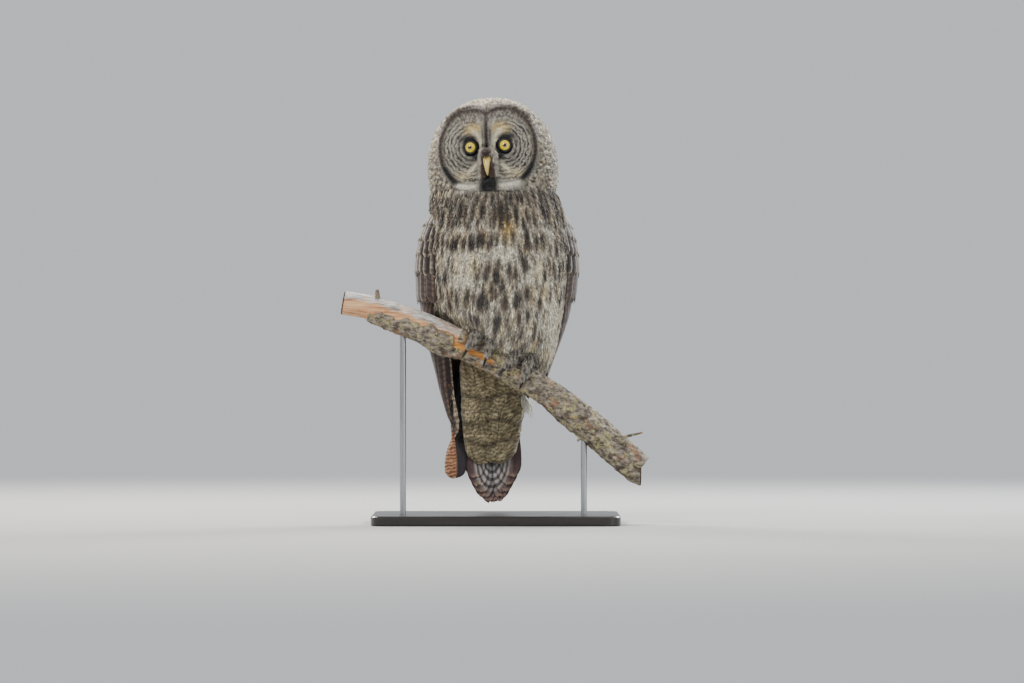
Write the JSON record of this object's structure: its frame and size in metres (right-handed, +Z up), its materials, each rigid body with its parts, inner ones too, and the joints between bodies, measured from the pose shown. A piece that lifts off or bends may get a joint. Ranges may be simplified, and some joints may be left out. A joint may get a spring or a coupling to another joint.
{
  "type": "great grey owl model",
  "caption": "Life-size still model of a great grey owl perched upright on a short cut branch, held above a flat base by rods.",
  "frame": {"origin": "the middle of the underside of the stand's base", "axes": "+Z up along the bird, -Y the way the bird looks, +X the bird's left side and the low end of the branch"},
  "size_m": [0.4813, 0.26, 0.687],
  "materials": {
    "face_feathers": "soft feathers, barred",
    "body_feathers": "soft feathers, streaked",
    "toe_feathers": "short soft feathers",
    "flight_feathers": "firm feathers, barred",
    "eye": "gloss",
    "bill": "satin horn",
    "claw": "satin horn",
    "branch": "bark, part peeled",
    "stand_wood": "satin black lacquer",
    "stand_rod": "satin"
  },
  "bodies": {
    "root": {"head": "face_feathers", "eye_left": "eye", "eye_right": "eye", "bill_upper": "bill", "bill_lower": "bill", "wing_left": "flight_feathers", "wing_right": "flight_feathers", "tail": "flight_feathers", "foot_right": "toe_feathers", "foot_left": "toe_feathers", "perch_branch": "branch", "stand_base": "stand_wood", "stand_rod_left": "stand_rod", "stand_rod_right": "stand_rod", "neck": "body_feathers", "torso": "body_feathers", "undertail_coverts": "body_feathers", "leg_right": "body_feathers", "leg_left": "body_feathers", "claw_right_inner": "claw", "claw_right_middle": "claw", "claw_right_outer": "claw", "claw_right_hind": "claw", "claw_left_inner": "claw", "claw_left_middle": "claw", "claw_left_outer": "claw", "claw_left_hind": "claw"}
  },
  "joints": []
}
